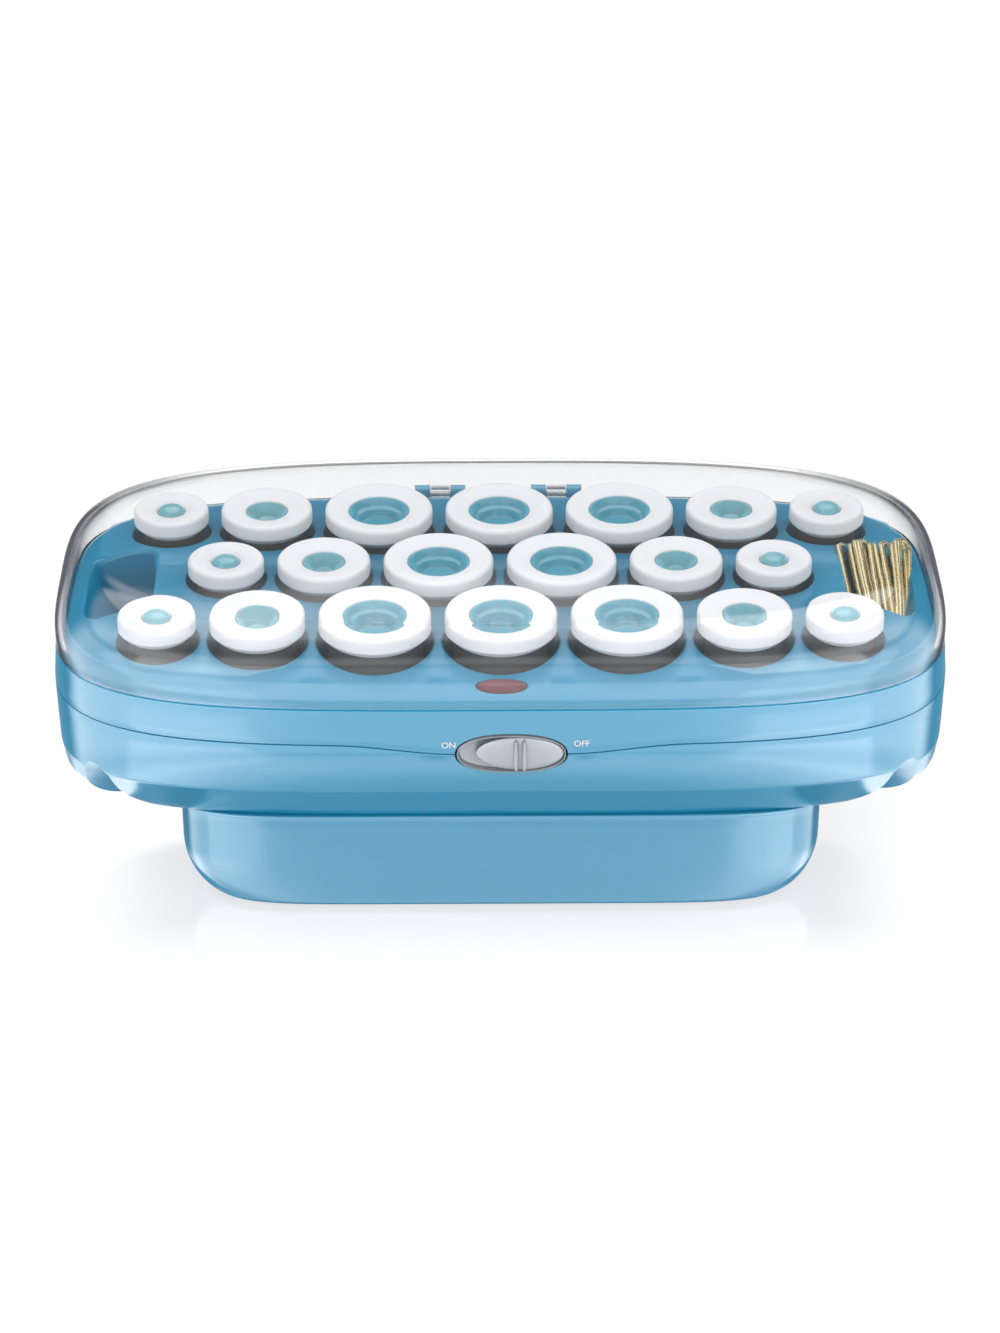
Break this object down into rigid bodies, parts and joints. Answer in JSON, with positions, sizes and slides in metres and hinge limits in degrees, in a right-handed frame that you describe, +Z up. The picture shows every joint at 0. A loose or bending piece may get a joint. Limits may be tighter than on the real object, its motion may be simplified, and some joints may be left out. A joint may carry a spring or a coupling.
{
  "type": "heated hair roller set",
  "caption": "Heated hair roller set: a blue footed base with wells and heated posts, rollers with white end rings, a clear hinged lid, a slide switch and a ready light.",
  "frame": {"origin": "middle of the set in plan, on the surface it stands on", "axes": "+X to the right along the rows of rollers, -Y to the front with the switch, +Z up"},
  "size_m": [0.3344, 0.175, 0.128],
  "materials": {
    "upper_housing_plastic": "glossy moulded",
    "lower_housing_plastic": "glossy moulded",
    "pedestal_plastic": "glossy moulded",
    "foot_rubber": "matt",
    "lid_clear_plastic": "clear, polished",
    "hinge_rod_steel": "drawn",
    "heating_plate_metal": "dark coated",
    "heating_element_ceramic": "unglazed",
    "thermostat_metal": "pressed",
    "switch_tray_plastic": "moulded",
    "switch_slider_plastic": "silver, moulded",
    "switch_body_plastic": "moulded",
    "indicator_lens_plastic": "clear red, moulded",
    "indicator_lamp_glass": "clear",
    "cord_gland_rubber": "matt",
    "roller_barrel_plastic": "flocked grey barrel with a moulded core",
    "roller_ring_plastic": "satin moulded"
  },
  "bodies": {
    "base": {"upper_housing": "upper_housing_plastic", "lower_housing": "lower_housing_plastic", "pedestal": "pedestal_plastic", "heating_plate": "heating_plate_metal", "heating_element": "heating_element_ceramic", "thermostat": "thermostat_metal", "switch_tray": "switch_tray_plastic", "switch_body": "switch_body_plastic", "indicator_lens": "indicator_lens_plastic", "indicator_lamp": "indicator_lamp_glass", "hinge_rod": "hinge_rod_steel", "foot_1": "foot_rubber", "foot_2": "foot_rubber", "foot_3": "foot_rubber", "foot_4": "foot_rubber", "cord_gland": "cord_gland_rubber"},
    "lid": {"lid": "lid_clear_plastic"},
    "switch_slider": {"switch_slider": "switch_slider_plastic"},
    "roller_01": {"roller_01_barrel": "roller_barrel_plastic", "roller_01_ring": "roller_ring_plastic"},
    "roller_02": {"roller_02_barrel": "roller_barrel_plastic", "roller_02_ring": "roller_ring_plastic"},
    "roller_03": {"roller_03_barrel": "roller_barrel_plastic", "roller_03_ring": "roller_ring_plastic"},
    "roller_04": {"roller_04_barrel": "roller_barrel_plastic", "roller_04_ring": "roller_ring_plastic"},
    "roller_05": {"roller_05_barrel": "roller_barrel_plastic", "roller_05_ring": "roller_ring_plastic"},
    "roller_06": {"roller_06_barrel": "roller_barrel_plastic", "roller_06_ring": "roller_ring_plastic"},
    "roller_07": {"roller_07_barrel": "roller_barrel_plastic", "roller_07_ring": "roller_ring_plastic"},
    "roller_08": {"roller_08_barrel": "roller_barrel_plastic", "roller_08_ring": "roller_ring_plastic"},
    "roller_09": {"roller_09_barrel": "roller_barrel_plastic", "roller_09_ring": "roller_ring_plastic"},
    "roller_10": {"roller_10_barrel": "roller_barrel_plastic", "roller_10_ring": "roller_ring_plastic"},
    "roller_11": {"roller_11_barrel": "roller_barrel_plastic", "roller_11_ring": "roller_ring_plastic"},
    "roller_12": {"roller_12_barrel": "roller_barrel_plastic", "roller_12_ring": "roller_ring_plastic"},
    "roller_13": {"roller_13_barrel": "roller_barrel_plastic", "roller_13_ring": "roller_ring_plastic"},
    "roller_14": {"roller_14_barrel": "roller_barrel_plastic", "roller_14_ring": "roller_ring_plastic"},
    "roller_15": {"roller_15_barrel": "roller_barrel_plastic", "roller_15_ring": "roller_ring_plastic"},
    "roller_16": {"roller_16_barrel": "roller_barrel_plastic", "roller_16_ring": "roller_ring_plastic"},
    "roller_17": {"roller_17_barrel": "roller_barrel_plastic", "roller_17_ring": "roller_ring_plastic"},
    "roller_18": {"roller_18_barrel": "roller_barrel_plastic", "roller_18_ring": "roller_ring_plastic"},
    "roller_19": {"roller_19_barrel": "roller_barrel_plastic", "roller_19_ring": "roller_ring_plastic"},
    "roller_20": {"roller_20_barrel": "roller_barrel_plastic", "roller_20_ring": "roller_ring_plastic"}
  },
  "joints": [
    {"name": "lid_hinge", "type": "hinge", "parent": "base", "child": "lid", "pos_m": [0, 0.08422, 0.1], "axis": [-1, 0, 0], "range_deg": [0, 100]},
    {"name": "switch_slide", "type": "slide", "parent": "base", "child": "switch_slider", "axis": [-1, 0, 0], "range_m": [0, 0.0064]},
    {"name": "roller_01_lift", "type": "slide", "parent": "base", "child": "roller_01", "axis": [0, 0, 1], "range_m": [0, 0.0016]},
    {"name": "roller_02_lift", "type": "slide", "parent": "base", "child": "roller_02", "axis": [0, 0, 1], "range_m": [0, 0.0044]},
    {"name": "roller_03_lift", "type": "slide", "parent": "base", "child": "roller_03", "axis": [0, 0, 1], "range_m": [0, 0.0048]},
    {"name": "roller_04_lift", "type": "slide", "parent": "base", "child": "roller_04", "axis": [0, 0, 1], "range_m": [0, 0.0048]},
    {"name": "roller_05_lift", "type": "slide", "parent": "base", "child": "roller_05", "axis": [0, 0, 1], "range_m": [0, 0.0048]},
    {"name": "roller_06_lift", "type": "slide", "parent": "base", "child": "roller_06", "axis": [0, 0, 1], "range_m": [0, 0.0044]},
    {"name": "roller_07_lift", "type": "slide", "parent": "base", "child": "roller_07", "axis": [0, 0, 1], "range_m": [0, 0.0016]},
    {"name": "roller_08_lift", "type": "slide", "parent": "base", "child": "roller_08", "axis": [0, 0, 1], "range_m": [0, 0.0036]},
    {"name": "roller_09_lift", "type": "slide", "parent": "base", "child": "roller_09", "axis": [0, 0, 1], "range_m": [0, 0.0044]},
    {"name": "roller_10_lift", "type": "slide", "parent": "base", "child": "roller_10", "axis": [0, 0, 1], "range_m": [0, 0.0048]},
    {"name": "roller_11_lift", "type": "slide", "parent": "base", "child": "roller_11", "axis": [0, 0, 1], "range_m": [0, 0.0048]},
    {"name": "roller_12_lift", "type": "slide", "parent": "base", "child": "roller_12", "axis": [0, 0, 1], "range_m": [0, 0.0044]},
    {"name": "roller_13_lift", "type": "slide", "parent": "base", "child": "roller_13", "axis": [0, 0, 1], "range_m": [0, 0.0036]},
    {"name": "roller_14_lift", "type": "slide", "parent": "base", "child": "roller_14", "axis": [0, 0, 1], "range_m": [0, 0.0016]},
    {"name": "roller_15_lift", "type": "slide", "parent": "base", "child": "roller_15", "axis": [0, 0, 1], "range_m": [0, 0.0044]},
    {"name": "roller_16_lift", "type": "slide", "parent": "base", "child": "roller_16", "axis": [0, 0, 1], "range_m": [0, 0.0048]},
    {"name": "roller_17_lift", "type": "slide", "parent": "base", "child": "roller_17", "axis": [0, 0, 1], "range_m": [0, 0.0048]},
    {"name": "roller_18_lift", "type": "slide", "parent": "base", "child": "roller_18", "axis": [0, 0, 1], "range_m": [0, 0.0048]},
    {"name": "roller_19_lift", "type": "slide", "parent": "base", "child": "roller_19", "axis": [0, 0, 1], "range_m": [0, 0.0044]},
    {"name": "roller_20_lift", "type": "slide", "parent": "base", "child": "roller_20", "axis": [0, 0, 1], "range_m": [0, 0.0016]}
  ]
}
